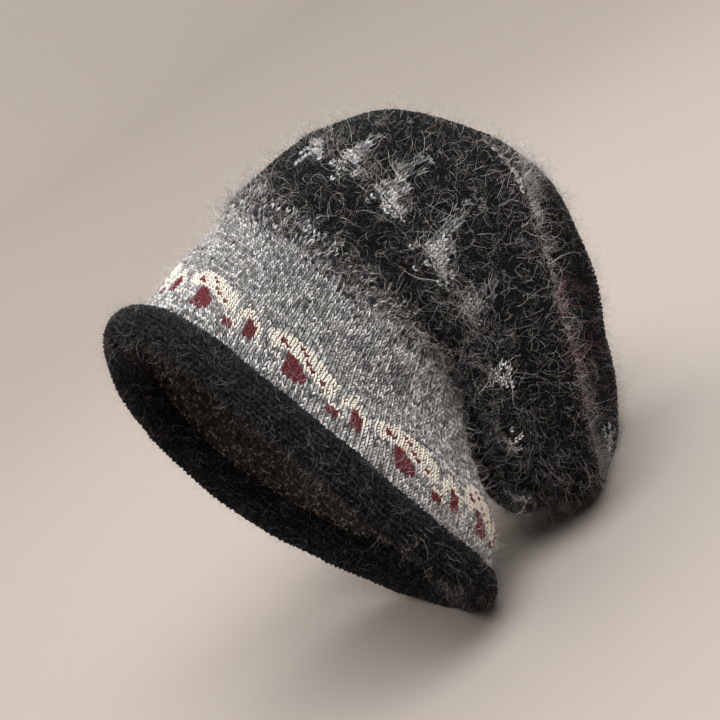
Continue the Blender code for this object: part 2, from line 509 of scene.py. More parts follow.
def leg_template(half_width, height):
    """One leg of a knit stitch: a low lozenge that leans out from the stitch's foot, with a raised middle."""
    points = [
        # The raised middle is painted lighter, a painted highlight, and the foot and sides darker, painted
        # shade.
        YarnPoint(0.04, -0.72, -0.1 * height, 0.45),
        YarnPoint(0.28 - half_width, 0.12, -0.15 * height, 0.45),
        YarnPoint(0.24 + half_width, -0.12, -0.15 * height, 0.45),
        YarnPoint(0.48, 0.72, 0.45 * height, 1.0),
        YarnPoint(0.27, 0.04, height, 1.3),
    ]
    faces = [(0, 4, 2), (2, 4, 3), (3, 4, 1), (1, 4, 0)]
    return np.array(points), np.array(faces)


def stitch_template(half_width, height):
    """Both legs of a knit stitch. The left leg mirrors the right one, with its faces turned round."""
    right, right_faces = leg_template(half_width, height)
    left = right * np.array([-1.0, 1.0, 1.0, 1.0])
    left_faces = right_faces[:, ::-1] + len(right)
    points = np.concatenate([right, left])
    return points, np.concatenate([right_faces, left_faces])


def bump_template(height):
    """A purl bump: an arched lozenge that lies across the wale."""
    points = []
    for along in (-0.4, 0.0, 0.4):
        for across in (-0.48, 0.0, 0.48):
            arch = 0.3 * (1 - 4 * across * across)
            crest = along == 0
            high = height if crest and across == 0 else (0.35 * height if crest else -0.35)
            # The crest's middle gets a painted highlight, the bump's edges painted shade.
            light = 1.8 if crest and across == 0 else (1.1 if crest else 0.25)
            points.append(YarnPoint(across, along + arch, high, light))
    faces = [(0, 3, 4, 1), (1, 4, 5, 2), (3, 6, 7, 4), (4, 7, 8, 5)]
    return np.array(points), np.array(faces)


def curl_template(height):
    """A small curl of yarn, as the reverse of the colourwork shows it."""
    points = []
    for turn, rise in ((-50.0, 0.7), (60.0, 1.0), (170.0, 0.7)):
        for side, reach in ((-1, 0.2), (0, 0.42), (1, 0.64)):
            bend = math.radians(turn)
            # The curl's middle line gets a painted highlight, its sides painted shade.
            high, light = (height * rise, 1.3) if side == 0 else (-0.1, 0.3)
            points.append(YarnPoint(reach * math.cos(bend), reach * math.sin(bend), high, light))
    faces = []
    for station in range(2):
        for side in range(2):
            corner = station * 3 + side
            faces.append((corner, corner + 1, corner + 4, corner + 3))
    return np.array(points), np.array(faces)


def spread_with_painted_light(colours, template, parts=1):
    """The colour at every point of each stitch, given by stitch or by leg, with a painted highlight along the
    yarn's crest and painted shade at its edges.
    """
    size = len(template) // parts
    light = np.tile(template[:, 3], len(colours) // parts)
    return np.repeat(colours, size, axis=0) * light[:, None]


def scatter_template(template, faces, rows, wales, spin, jitter, rng):
    """Lays a template at each stitch. Gives each point's row, wale and height, and all faces."""
    count = len(rows)
    turn = spin * (rng.random(count) - 0.5)
    cosine, sine = np.cos(turn)[:, None], np.sin(turn)[:, None]
    shift = jitter * rng.normal(size=(count, 2))
    across = template[None, :, 0] * cosine - template[None, :, 1] * sine + shift[:, :1] + wales[:, None]
    along = template[None, :, 0] * sine + template[None, :, 1] * cosine + shift[:, 1:] + rows[:, None]
    height = template[None, :, 2] * (0.8 + 0.4 * rng.random((count, 1))) + 0.12 * rng.normal(size=(count, 1))
    size = len(template)
    all_faces = (faces[None] + (np.arange(count) * size)[:, None, None]).reshape(-1, faces.shape[1])
    return along.ravel(), across.ravel(), height.ravel(), all_faces


def knit_field(stitch, grid, wale_count, places, spin, jitter, rng):
    """Knits a template at each stitch of a grid. Gives all points, in metres, and all faces."""
    rows, wales = grid
    along, across, height, faces = scatter_template(*stitch, rows, wales + 0.5, spin, jitter, rng)
    return knit_stitches(places, along, across / wale_count * math.tau, height), faces


def grid_of(first_row, last_row, wales):
    """The row and the wale of each stitch in a field of whole rows."""
    rows = np.arange(first_row, last_row)
    return np.repeat(rows, wales), np.tile(np.arange(wales), len(rows))


def ragged_edge(row, wales, rng):
    """The row, for each leg of the stitches, at which one yarn gives way to the other."""
    legs = np.repeat(wales, 2)
    return row + 0.8 * np.sin(legs * 0.35) + 2.2 * rng.normal(size=len(legs))


def marl(light, rng):
    """Greys of a marled yarn, for a lightness of each leg, that stay alike over a stitch or two."""
    twist = np.convolve(rng.normal(size=len(light)), (0.2, 0.8, 0.2), "same")
    fleck = rng.random(len(light))
    grey = light * np.exp(0.6 * twist)
    light_flecks, dark_flecks = fleck > 0.94, fleck < 0.1
    grey = np.where(light_flecks, grey * 1.7 + 0.1, grey)
    grey = np.where(dark_flecks, grey * 0.4, grey)
    darkest, lightest = 0.008, 0.85
    return np.clip(grey, darkest, lightest)


def toadstool_letter(rows, wales):
    """The chart's letter for each stitch, read against the wales' count, and a dot above and below it."""
    height = len(TOADSTOOLS)
    width = len(TOADSTOOLS[0])
    if any(len(line) != width for line in TOADSTOOLS):
        raise RuntimeError("every line of the toadstool chart needs the same number of stitches")
    chart = np.array([list(line) for line in TOADSTOOLS])
    line = TOADSTOOL_TOP_ROW - rows
    inside = (line >= 0) & (line < height)
    return np.where(inside, chart[np.clip(line, 0, height - 1), (CHART_START - wales) % width], ".")


def stroke_weight(places, turns, rng):
    """How light each crown stitch is, from 0 to 1, by the chart of the strokes. Turns are in degrees."""
    levels = {".": 0.0, "+": CHART_DIM, "#": 1.0}
    chart = np.array([[levels[letter] for letter in line] for line in STROKE_CHART])
    height, width = chart.shape
    light = np.zeros(len(places))
    stray = rng.normal(size=(len(places), 2))
    for stroke in STROKES:
        rise = (stroke.end_place - stroke.place) * PLACE_LENGTH
        run = (stroke.end_angle - stroke.angle) * DEGREE_LENGTH
        length = math.hypot(rise, run)
        up = (places - stroke.place) * PLACE_LENGTH
        side = ((turns - stroke.angle + 180.0) % 360.0 - 180.0) * DEGREE_LENGTH
        along = (up * rise + side * run) / length
        away = (side * rise - up * run) / length
        line = np.floor((1.0 - along / length) * height + stray[:, 0]).astype(int)
        column = np.floor((away / stroke.width + 0.5) * width + 0.6 * stray[:, 1]).astype(int)
        hit = (column >= 0) & (column < width) & (line >= 0) & (line < height)
        lit = chart[np.clip(line, 0, height - 1), np.clip(column, 0, width - 1)] * stroke.light
        light = np.where(hit, np.maximum(light, lit), light)
    return light * (0.5 + 0.5 * rng.random(len(places)))


def stitch_places(place_rows, rows, wales, wale_count):
    """The place of each stitch, and how far round the hat it stands, in degrees."""
    places = place_rows[np.clip(rows, 0, len(place_rows) - 1)]
    return places, np.degrees(wale_angles(places, (wales + 0.5) / wale_count * math.tau))


# Fibres

FIBRE_REACH = 0.013      # how far a fibre may stand out past the solids' box, in metres
FLOOR_CLEARANCE = 0.0002
WANDER = 0.6             # how much a fibre strays from its curl
LEAN_CHANGE = 0.25       # how much the axis that it curls about changes at each station
ROOT_HEIGHT = 0.1        # how high over the knit it grows, in millimetres

# How light fibres come out: the setting for their colour, the least share of it, how much more the lightest
# have, and how rare light ones are. The fibres are real; their pale colour on the black yarns is painted
# sheen.
Tone = namedtuple("Tone", "yarn least spread rarity")

DARK = Tone("hair", 0.12, 1.2, 2)
PALE = Tone("hair", 0.35, 1.3, 1.3)
FAINT = Tone("hair", 0.1, 0.6, 2)
# The halo's tone, lighter than the hairs' colour, is painted rim light on fibres that stand up off the knit.
PAINTED_RIM_LIGHT = Tone("hair", 1.4, 0.5, 1)
GREY = Tone("grey_hair", 0.25, 0.6, 1)
REDDISH = Tone("tuft", 0.5, 1.0, 1)

# A crop of fibres. It grows between two places of the knit, or two turns of the brim's roll, and between two
# angles. Length and width are in millimetres, and the whole bend is in radians. With a lift of 0 fibres lie
# flat and curl along the knit, and with 1 or more they stand up and curl any way.
Crop = namedtuple(
    "Crop", "name node slot tone low high length lift bend width stations seed first_angle last_angle",
    defaults=(0.0, 360.0))

BAG_START = WAIST - 0.15
CROPS = [
    Crop("crown_fuzz", "crown", "black_mohair", DARK, BAG_START, LAST, 6.0, 0.25, 3.5, 0.11, 4, 101),
    Crop("crown_curls", "crown", "black_mohair", DARK, BAG_START, LAST, 13.0, 0.25, 8.0, 0.10, 6, 103),
    Crop("crown_halo", "crown", "black_mohair", PAINTED_RIM_LIGHT, BAG_START, LAST, 14.0, 1.4, 6.0, 0.11, 8, 117),
    Crop("waist_curls", "band", "black_mohair", FAINT, 3.3, 4.4, 12.0, 0.3, 8.0, 0.13, 6, 113),
    Crop("band_fuzz", "band", "grey_marl", GREY, 0.0, WAIST, 4.0, 0.3, 2.2, 0.12, 3, 105),
    Crop("band_curls", "band", "grey_marl", PAINTED_RIM_LIGHT, 0.2, WAIST, 11.0, 1.2, 4.0, 0.10, 5, 115),
    Crop("brim_fuzz", "brim", "black_wool", FAINT, 0.0, math.tau, 4.5, 0.3, 3.0, 0.10, 3, 107),
    Crop("brim_curls", "brim", "black_wool", DARK, 0.0, math.tau, 10.0, 1.3, 4.5, 0.08, 5, 109),
    Crop("long_hairs", "crown", "black_mohair", PALE, 1.0, LAST - 1.0, 30.0, 0.3, 9.0, 0.11, 16, 111),
    Crop("red_tuft", "crown", "black_mohair", REDDISH, 7.95, 8.5, 18.0, 0.5, 5.0, 0.16, 6, 119, 70.0, 101.0),
]


def grow_fibres(roots, start, bend_axis, facing, lengths, bends, widths, stations, rng):
    """Curved flat fibres that narrow and curl more towards their tips, each a strip of faces.

    Roots, lengths and widths are in metres. Each fibre sets out along start, curls about bend_axis through
    its bend, in radians, and its faces look along facing.
    """
    where, heading, axis = roots.copy(), start.copy(), bend_axis.copy()
    lowest = CAD_BOX[0] - np.array((FIBRE_REACH, FIBRE_REACH, -FLOOR_CLEARANCE))
    highest = CAD_BOX[1] + FIBRE_REACH
    edges = []
    for station in range(stations + 1):
        flat = unit(np.cross(heading, facing))
        half = (widths * 0.5 * (1.0 - 0.7 * station / stations))[:, None]
        edges += [where - flat * half, where + flat * half]
        step = (bends * (station + 1.5) / (stations * (stations + 3) / 2))[:, None]
        turned = heading * np.cos(step) + np.cross(axis, heading) * np.sin(step)
        heading = unit(turned + WANDER / stations * rng.normal(size=roots.shape))
        where = np.clip(where + heading * (lengths / stations)[:, None], lowest, highest)
        axis = unit(axis + LEAN_CHANGE * rng.normal(size=roots.shape))
    size = len(edges)
    strip = np.array([(low, low + 1, low + 3, low + 2) for low in range(0, size - 2, 2)])
    faces = (strip[None] + (np.arange(len(roots)) * size)[:, None, None]).reshape(-1, 4)
    return np.stack(edges, axis=1).reshape(-1, 3), faces, size


def brush_up(crop, roots, axes, colours):
    """A crop's fibres at given roots, in metres, each a curl of its own length, bend and width."""
    rng = np.random.default_rng(crop.seed + 1)
    along, around, outwards = axes
    count = len(roots)
    turn = rng.random(count) * math.tau
    lying = along * np.cos(turn)[:, None] + around * np.sin(turn)[:, None]
    rise = np.clip(crop.lift + 0.3 * rng.normal(size=count), 0.05, 1.4)[:, None]
    start = unit(lying + outwards * rise)
    standing = min(1.0, crop.lift)
    flat = outwards * (1.0 - standing)
    axis = unit(flat + (0.3 + standing) * rng.normal(size=(count, 3)))
    facing = unit(flat + (0.35 + standing) * rng.normal(size=(count, 3)))
    lengths = crop.length * MM * np.clip(np.exp(0.45 * rng.normal(size=count)), 0.4, 2.2)
    bends = crop.bend * (0.3 + rng.random(count)) * rng.choice((-1, 1), count)
    widths = crop.width * MM * (0.7 + 0.6 * rng.random(count))
    points, faces, size = grow_fibres(roots, start, axis, facing, lengths, bends, widths, crop.stations, rng)
    return mesh_object(crop.name, points, faces, np.repeat(colours, size, axis=0))


def fibre_strokes_and_painted_light(places, angles, rng):
    """How light fibres are coloured where they grow on the knit.

    They are lighter on the strokes, the yarn's own pattern. They are painted lighter on the ridge, a painted
    highlight, and painted darker underneath and in the gather, painted shade.
    """
    strokes = stroke_weight(places, np.degrees(angles), rng)
    turn = signed_turn(angles)
    ridge = swell(places, RIDGE_CREST.place, 0.4) * swell(turn, RIDGE_CREST.turn, RIDGE_CREST.turn_reach)
    under = swell(turn, 0.8, 1.5)
    # The ridge's share is a painted highlight; the underside's darkening and the gather's are painted shade.
    plain, shade, shine, crest = 0.85, 0.45, 1.1, 0.4
    bag = np.where(places > WAIST + 0.4, plain - shade * under + shine * strokes + crest * ridge, 1.0)
    gather_places, gather_painted_shade = (9.6, 10.3), (1.0, 0.3)
    return bag * np.interp(places, gather_places, gather_painted_shade)


# Materials

# The two layers of a yarn's hairs: how fine each is beside the first, and how far it is shifted
HAIR_LAYERS = ((1.0, 0.0), (1.7, 5.3))


def math_node(tree, operation, *values):
    """A maths node fed by sockets and plain numbers. Gives its output."""
    node = tree.nodes.new("ShaderNodeMath")
    node.operation = operation
    for socket, value in zip(node.inputs, values):
        if isinstance(value, bpy.types.NodeSocket):
            tree.links.new(value, socket)
        else:
            socket.default_value = value
    return node.outputs[0]


def wool_fibre_group():
    """Fine wandering fibres on a yarn: a mask of light hairs and a height for the bump."""
    found = bpy.data.node_groups.get("Wool fibres")
    if found:
        return found
    group = bpy.data.node_groups.new("Wool fibres", "ShaderNodeTree")
    for name, way in (("Scale", "INPUT"), ("Hair Width", "INPUT"), ("Hairs", "OUTPUT"), ("Height", "OUTPUT")):
        group.interface.new_socket(name=name, in_out=way, socket_type="NodeSocketFloat")
    nodes, links = group.nodes, group.links
    inlet = nodes.new("NodeGroupInput")
    outlet = nodes.new("NodeGroupOutput")
    coords = nodes.new("ShaderNodeTexCoord")
    masks = []
    for fineness, shift in HAIR_LAYERS:
        scale = math_node(group, "MULTIPLY", inlet.outputs["Scale"], fineness)
        move = nodes.new("ShaderNodeMapping")
        move.inputs["Location"].default_value = (shift, shift, shift)
        links.new(coords.outputs["Object"], move.inputs["Vector"])
        noise = nodes.new("ShaderNodeTexNoise")
        noise.inputs["Detail"].default_value = 2.0
        noise.inputs["Roughness"].default_value = 0.45
        links.new(move.outputs["Vector"], noise.inputs["Vector"])
        links.new(scale, noise.inputs["Scale"])
        away = math_node(group, "ABSOLUTE", math_node(group, "SUBTRACT", noise.outputs[0], 0.5))
        line = nodes.new("ShaderNodeMapRange")
        line.interpolation_type = "SMOOTHSTEP"
        line.inputs["From Min"].default_value = 0.0
        line.inputs["To Min"].default_value = 1.0
        line.inputs["To Max"].default_value = 0.0
        links.new(inlet.outputs["Hair Width"], line.inputs["From Max"])
        links.new(away, line.inputs["Value"])
        masks.append(line.outputs[0])
    # The height is that of the hairs, over the noise of the finer layer
    hairs = math_node(group, "MAXIMUM", *masks)
    links.new(hairs, outlet.inputs["Hairs"])
    links.new(math_node(group, "ADD", hairs, noise.outputs[0]), outlet.inputs["Height"])
    return group


def yarn_material(finish, hair_colour):
    """A yarn: its stitch colours, streaked with lighter hairs, on a rough cloth shader with a soft sheen."""
    made = bpy.data.materials.new(finish.yarn)
    made.use_nodes = True
    nodes, links = made.node_tree.nodes, made.node_tree.links
    shader = nodes["Principled BSDF"]
    shader.inputs["Roughness"].default_value = finish.roughness
    shader.inputs["Metallic"].default_value = 0.0
    shader.inputs["Specular IOR Level"].default_value = 0.06
    shader.inputs["Sheen Weight"].default_value = finish.sheen
    shader.inputs["Sheen Roughness"].default_value = 0.6
    colour = nodes.new("ShaderNodeVertexColor")
    colour.layer_name = "yarn"
    fibres = nodes.new("ShaderNodeGroup")
    fibres.node_tree = wool_fibre_group()
    fibres.inputs["Scale"].default_value = finish.fibre_scale
    fibres.inputs["Hair Width"].default_value = finish.hair_width
    # On the black yarns the lighter hairs are painted sheen; on the marl they are its light fibres.
    mix = nodes.new("ShaderNodeMix")
    mix.data_type = "RGBA"
    mix.inputs["B"].default_value = (*hair_colour, 1.0)
    amount = math_node(made.node_tree, "MULTIPLY", fibres.outputs["Hairs"], finish.hair_share)
    links.new(amount, mix.inputs["Factor"])
    links.new(colour.outputs["Color"], mix.inputs["A"])
    links.new(mix.outputs["Result"], shader.inputs["Base Color"])
    relief = nodes.new("ShaderNodeBump")
    relief.inputs["Strength"].default_value = finish.relief
    relief.inputs["Distance"].default_value = 0.0004
    links.new(fibres.outputs["Height"], relief.inputs["Height"])
    links.new(relief.outputs["Normal"], shader.inputs["Normal"])


def painted_shade_paper(colour, up):
    """Pale studio paper with painted shade, graded gently darker along one direction."""
    darkest = 0.80
    made = bpy.data.materials.new("studio_paper")
    made.use_nodes = True
    nodes, links = made.node_tree.nodes, made.node_tree.links
    shader = nodes["Principled BSDF"]
    shader.inputs["Roughness"].default_value = 0.85
    shader.inputs["Specular IOR Level"].default_value = 0.2
    coords = nodes.new("ShaderNodeTexCoord")
    height = nodes.new("ShaderNodeVectorMath")
    height.operation = "DOT_PRODUCT"
    height.inputs[1].default_value = up
    links.new(coords.outputs["Object"], height.inputs[0])
    share = nodes.new("ShaderNodeMapRange")
    share.interpolation_type = "SMOOTHSTEP"
    share.inputs["From Min"].default_value = -0.2
    share.inputs["From Max"].default_value = 1.6
    links.new(height.outputs["Value"], share.inputs["Value"])
    ramp = nodes.new("ShaderNodeValToRGB")
    # The paper is painted darker along the given up direction: a painted shade gradient.
    darker = [channel * darkest for channel in colour]
    ramp.color_ramp.elements[0].color = (*colour, 1.0)
    ramp.color_ramp.elements[1].color = (*darker, 1.0)
    links.new(share.outputs["Result"], ramp.inputs["Fac"])
    links.new(ramp.outputs["Color"], shader.inputs["Base Color"])
    return made


# User settings

class BeanieKnit(bpy.types.PropertyGroup):
    """Sizes of the knitting"""

    wales: bpy.props.IntProperty(
        name="Wales", description="Stitches round the band and bag", default=200, min=24)
    row_height: bpy.props.FloatProperty(
        name="Row height", description="Height of a row of stitches", default=0.0026, unit="LENGTH")
    stitch_relief: bpy.props.FloatProperty(
        name="Stitch relief", description="How far a stitch stands out", default=0.0009, unit="LENGTH")
    brim_wales: bpy.props.IntProperty(
        name="Brim stitches", description="Purl bumps round the brim", default=236, min=24)
    brim_rows: bpy.props.IntProperty(
        name="Brim rows", description="Rows of purl bumps round the brim's roll", default=24, min=6)
    top_wales: bpy.props.IntProperty(
        name="Wales on top", description="Stitches round the bag's top, beyond the ridge", default=90, min=24)


class BeanieYarns(bpy.types.PropertyGroup):
    """Colours of the yarns"""

    black: bpy.props.FloatVectorProperty(
        name="Black", description="Brim and bag yarn", subtype="COLOR", default=(0.006, 0.006, 0.0065))
    # The hairs are pale: painted sheen on the fibres of the black yarns.
    hair: bpy.props.FloatVectorProperty(
        name="Hairs", description="Brushed-up mohair fibres", subtype="COLOR", default=(0.52, 0.50, 0.48))
    marl_hair: bpy.props.FloatVectorProperty(
        name="Marl hairs", description="Hairs in the marled yarn", subtype="COLOR", default=(0.6, 0.59, 0.57))
    grey_hair: bpy.props.FloatVectorProperty(
        name="Band fuzz", description="Short fibres on the band", subtype="COLOR", default=(1.0, 1.0, 1.0))
    light_grey: bpy.props.FloatProperty(
        name="Light marl", description="Grey of the marl beside the toadstools", default=0.40)
    dark_grey: bpy.props.FloatProperty(
        name="Dark marl", description="Grey of the marl above the toadstools", default=0.32)
    stroke_grey: bpy.props.FloatProperty(
        name="Strokes", description="Grey of the bag's light strokes", default=0.6)
    cream: bpy.props.FloatVectorProperty(
        name="Cream", description="Toadstool caps", subtype="COLOR", default=(0.98, 0.90, 0.78))
    red: bpy.props.FloatVectorProperty(
        name="Dark red", description="Toadstool stems and spots", subtype="COLOR",
        default=(0.17, 0.016, 0.026))
    curls: bpy.props.FloatVectorProperty(
        name="Inside curls", description="Reverse of the colourwork", subtype="COLOR",
        default=(0.50, 0.39, 0.30))
    tuft: bpy.props.FloatVectorProperty(
        name="Tuft", description="Stray fibres in the groove", subtype="COLOR", default=(0.42, 0.16, 0.16))
    paper: bpy.props.FloatVectorProperty(
        name="Paper", description="Studio floor and backdrop", subtype="COLOR", default=(0.435, 0.389, 0.352))


class BeanieFuzz(bpy.types.PropertyGroup):
    """How many fibres stand off the knit"""

    crown_fuzz: bpy.props.IntProperty(
        name="Bag fuzz", description="Short fibres on the bag", default=5000, min=1)
    crown_curls: bpy.props.IntProperty(
        name="Bag curls", description="Longer curled fibres on the bag", default=16000, min=1)
    crown_halo: bpy.props.IntProperty(
        name="Bag halo", description="Pale fibres that stand up off the bag", default=12000, min=1)
    waist_curls: bpy.props.IntProperty(
        name="Waist curls", description="Curls that hang over the band's upper edge", default=3000, min=1)
    band_curls: bpy.props.IntProperty(
        name="Band curls", description="Longer curled fibres on the band", default=3000, min=1)
    band_fuzz: bpy.props.IntProperty(
        name="Band fuzz", description="Short fibres on the band", default=6000, min=1)
    brim_fuzz: bpy.props.IntProperty(
        name="Brim fuzz", description="Short fibres on the brim", default=7000, min=1)
    brim_curls: bpy.props.IntProperty(
        name="Brim curls", description="Longer fibres on the brim", default=4500, min=1)
    long_hairs: bpy.props.IntProperty(
        name="Long hairs", description="Single hairs that wander over the hat", default=200, min=1)
    red_tuft: bpy.props.IntProperty(
        name="Red tuft", description="Stray reddish fibres in the groove behind the ridge", default=90, min=1)


# Operators

class BEANIE_OT_brim(bpy.types.Operator):
    """Rolls the black brim and covers it with purl bumps"""

    bl_idname = "beanie.brim"
    bl_label = "Roll the brim"

    def execute(self, context):
        knit, yarns = context.scene.beanie_knit, context.scene.beanie_yarns
        rng = np.random.default_rng(11)
        black = np.array(yarns.black)

        def place(angles, share):
            return roll_points(share * math.tau, angles, np.full(len(angles), -BRIM_BACKING_DEPTH))

        # The sheet is painted darker than the yarn: painted shade in the gaps between the bumps.
        base = wrapped_sheet("brim_roll", BRIM_SHEET, place, black * BACKING_PAINTED_SHADE)
        dress(base, "black_wool", "brim")

        template, faces = bump_template(1.6)
        rows, wales = grid_of(0, knit.brim_rows, knit.brim_wales)
        wales = wales + 0.5 * (rows % 2)
        along, across, height, all_faces = scatter_template(template, faces, rows, wales, 1.2, 0.12, rng)
        turns, angles = along / knit.brim_rows * math.tau, across / knit.brim_wales * math.tau
        shade = 0.8 + 1.2 * rng.random(len(rows)) ** 2
        colours = spread_with_painted_light(1.8 * black[None] * shade[:, None], template)
        bumps = mesh_object("brim_stitches", roll_points(turns, angles, height), all_faces, colours)
        dress(bumps, "black_wool", "brim")
        return {"FINISHED"}


class BEANIE_OT_band(bpy.types.Operator):
    """Knits the grey band with its toadstools"""

    bl_idname = "beanie.band"
    bl_label = "Knit the band"

    def execute(self, context):
        knit, yarns = context.scene.beanie_knit, context.scene.beanie_yarns
        rng = np.random.default_rng(23)
        places = row_places(knit.row_height / MM)
        last = int(np.searchsorted(places, WAIST))
        black = np.array(yarns.black)

        def place(angles, share):
            along = 2 * np.minimum(share, 1 - share) * WAIST
            return knit_points(along, angles, backing_heights(share))

        # The sheet is painted nearly black under the grey stitches: painted shade in the gaps between them.
        base = wrapped_sheet("band_backing", BAND_SHEET, place, np.full(3, yarns.dark_grey * MARL_BACKING_PAINTED_SHADE))
        dress(base, "grey_marl", "band")

        rows, wales = grid_of(0, last, knit.wales)
        stitch = stitch_template(0.2, knit.stitch_relief / MM)
        points, faces = knit_field(stitch, (rows, wales), knit.wales, places, 0.12, 0.04, rng)

        share = np.clip((rows - 11) / 7 + 0.25 * rng.normal(size=len(rows)), 0.0, 1.0)
        light = yarns.light_grey * (1 - share) + yarns.dark_grey * share
        greys = marl(np.repeat(light, 2), rng)
        colours = np.repeat(greys[:, None], 3, axis=1) * np.array([1.0, 0.995, 0.985])
        letters = np.repeat(toadstool_letter(rows, wales), 2)
        tone = (0.8 + 0.35 * rng.random(len(letters)))[:, None]
        colours = np.where((letters == "c")[:, None], np.array(yarns.cream) * tone, colours)
        colours = np.where((letters == "r")[:, None], np.array(yarns.red) * tone, colours)
        beyond = np.repeat(rows, 2) > ragged_edge(last - 3.0, wales, rng)
        blacks = black[None] * (1 + rng.random(len(beyond)))[:, None]
        colours = np.where(beyond[:, None], blacks, colours)
        stitches = mesh_object("band_stitches", points, faces, spread_with_painted_light(colours, stitch[0], 2))
        dress(stitches, "grey_marl", "band")
        return {"FINISHED"}


class BEANIE_OT_crown(bpy.types.Operator):
    """Knits the black slouch bag with its light strokes"""

    bl_idname = "beanie.crown"
    bl_label = "Knit the slouch bag"

    def execute(self, context):
        knit, yarns = context.scene.beanie_knit, context.scene.beanie_yarns
        rng = np.random.default_rng(37)
        places = row_places(knit.row_height / MM)
        first = int(np.searchsorted(places, WAIST))
        ridge = int(np.searchsorted(places, RIDGE))
        black = np.array(yarns.black)

        last_ring = 1 - 2 / BAG_SHEET[1]

        def place(angles, share):
            """Both faces of the bag's wall, which meet in one point in the middle of the gather."""
            way = 2 * np.minimum(share, 1 - share)
            along = WAIST + np.minimum(way / last_ring, 1.0) * (LAST - WAIST)
            points = knit_points(along, angles, backing_heights(share))
            points[way > (1 + last_ring) / 2] = points[along > LAST - 0.001].mean(axis=0)
            return points

        # The sheet is painted darker than the yarn: painted shade in the gaps between the stitches.
        base = wrapped_sheet("crown_backing", BAG_SHEET, place, black * BACKING_PAINTED_SHADE)
        dress(base, "black_mohair", "crown")

        rows, wales = grid_of(first, ridge, knit.wales)
        stitch = stitch_template(0.22, knit.stitch_relief / MM)
        points, faces = knit_field(stitch, (rows, wales), knit.wales, places, 0.2, 0.06, rng)
        light = np.repeat(stroke_weight(*stitch_places(places, rows, wales, knit.wales), rng), 2)
        tone = 0.6 + 0.8 * rng.random(len(light))
        greys = yarns.stroke_grey * tone * light
        colours = black[None] * (0.6 + 1.3 * rng.random(len(light)) ** 2)[:, None] + greys[:, None]
        below = np.repeat(rows, 2) < ragged_edge(first + 0.5, wales, rng)
        marled = marl(np.full(len(below), yarns.dark_grey), rng)
        colours = np.where(below[:, None], marled[:, None], colours)
        stitches = mesh_object("crown_stitches", points, faces, spread_with_painted_light(colours, stitch[0], 2))
        dress(stitches, "black_mohair", "crown")

        rows, wales = grid_of(ridge, len(places) - 1, knit.top_wales)
        points, faces = knit_field(stitch, (rows, wales), knit.top_wales, places, 0.2, 0.06, rng)
        lit = stroke_weight(*stitch_places(places, rows, wales, knit.top_wales), rng)
        colours = black[None] * (0.6 + 1.3 * rng.random(len(rows)) ** 2)[:, None]
        colours = colours + (yarns.stroke_grey * lit * (0.6 + 0.8 * rng.random(len(rows))))[:, None]
        top = mesh_object("crown_top_stitches", points, faces, spread_with_painted_light(colours, stitch[0]))
        dress(top, "black_mohair", "crown")
        return {"FINISHED"}


class BEANIE_OT_inside(bpy.types.Operator):
    """Covers the inside of the band with the curls of the colourwork's reverse"""

    bl_idname = "beanie.inside"
    bl_label = "Show the reverse of the colourwork"

    def execute(self, context):
        knit, yarns = context.scene.beanie_knit, context.scene.beanie_yarns
        rng = np.random.default_rng(41)
        places = row_places(knit.row_height / MM)
        template, faces = curl_template(1.4)
        pitch = 0.85                     # rows of stitches that a row of curls takes up
        count = int(knit.wales * 1.25)   # curls round the band
        last = int(np.searchsorted(places, WAIST) / pitch)
        rows, wales = grid_of(0, last, count)
        rows = rows + 0.8
        along, across, height, all_faces = scatter_template(template, faces, rows, wales, 2.6, 0.18, rng)
        points = knit_stitches(places, along * pitch, across / count * math.tau, -WALL - height)
        light = rng.random(len(rows)) ** 0.9
        light = np.where(rng.random(len(rows)) < 0.2, light * 0.15, light)[:, None]
        colours = np.array(yarns.black)[None] * (1 - light) + np.array(yarns.curls)[None] * light
        colours = colours * (0.7 + 0.9 * rng.random(len(rows)))[:, None]
        letters = toadstool_letter((rows * pitch).astype(int), (wales * knit.wales / count).astype(int))
        spot = (letters == "r") & (rng.random(len(rows)) < 0.2)
        colours = np.where(spot[:, None], np.array(yarns.red) * 0.9, colours)
        curls = mesh_object("inside_curls", points, all_faces, spread_with_painted_light(colours, template))
        dress(curls, "black_wool", "band")
        return {"FINISHED"}


class BEANIE_OT_fuzz(bpy.types.Operator):
    """Brushes up the fibres of the brim, the band and the bag"""

    bl_idname = "beanie.fuzz"
    bl_label = "Brush up the fibres"

    def execute(self, context):
        yarns, counts = context.scene.beanie_yarns, context.scene.beanie_fuzz
        for crop in CROPS:
            self.grow_crop(crop, getattr(counts, crop.name), np.array(getattr(yarns, crop.tone.yarn)))
        return {"FINISHED"}

    def grow_crop(self, crop, count, colour):
        """Scatters a crop's roots over the brim's roll or the knit, and brushes up its fibres."""
        rng = np.random.default_rng(crop.seed)
        places = crop.low + (crop.high - crop.low) * rng.random(count)
        share = rng.random(count)
        heights = np.full(count, ROOT_HEIGHT)
        if crop.node == "brim":
            angles = math.tau * share
            roots, axes = roll_points(places, angles, heights), roll_axes(places, angles)
        else:
            angles = np.radians(crop.first_angle + (crop.last_angle - crop.first_angle) * share)
            roots, axes = knit_points(places, angles, heights), knit_axes(places, angles)
        tone = crop.tone
        colours = colour[None] * (tone.least + tone.spread * rng.random(count) ** tone.rarity)[:, None]
        # Fibres on the knit take the strokes' pattern, a painted highlight on the ridge, and painted shade
        # underneath and in the gather.
        if crop.node != "brim":
            colours = colours * fibre_strokes_and_painted_light(places, angles, rng)[:, None]
        dress(brush_up(crop, roots, axes, colours), crop.slot, crop.node)


class BEANIE_OT_yarns(bpy.types.Operator):
    """Spins the three yarns' materials"""

    bl_idname = "beanie.yarns"
    bl_label = "Spin the yarns"

    def execute(self, context):
        for finish in FINISHES:
            yarn_material(finish, tuple(getattr(context.scene.beanie_yarns, finish.hairs)))
        return {"FINISHED"}


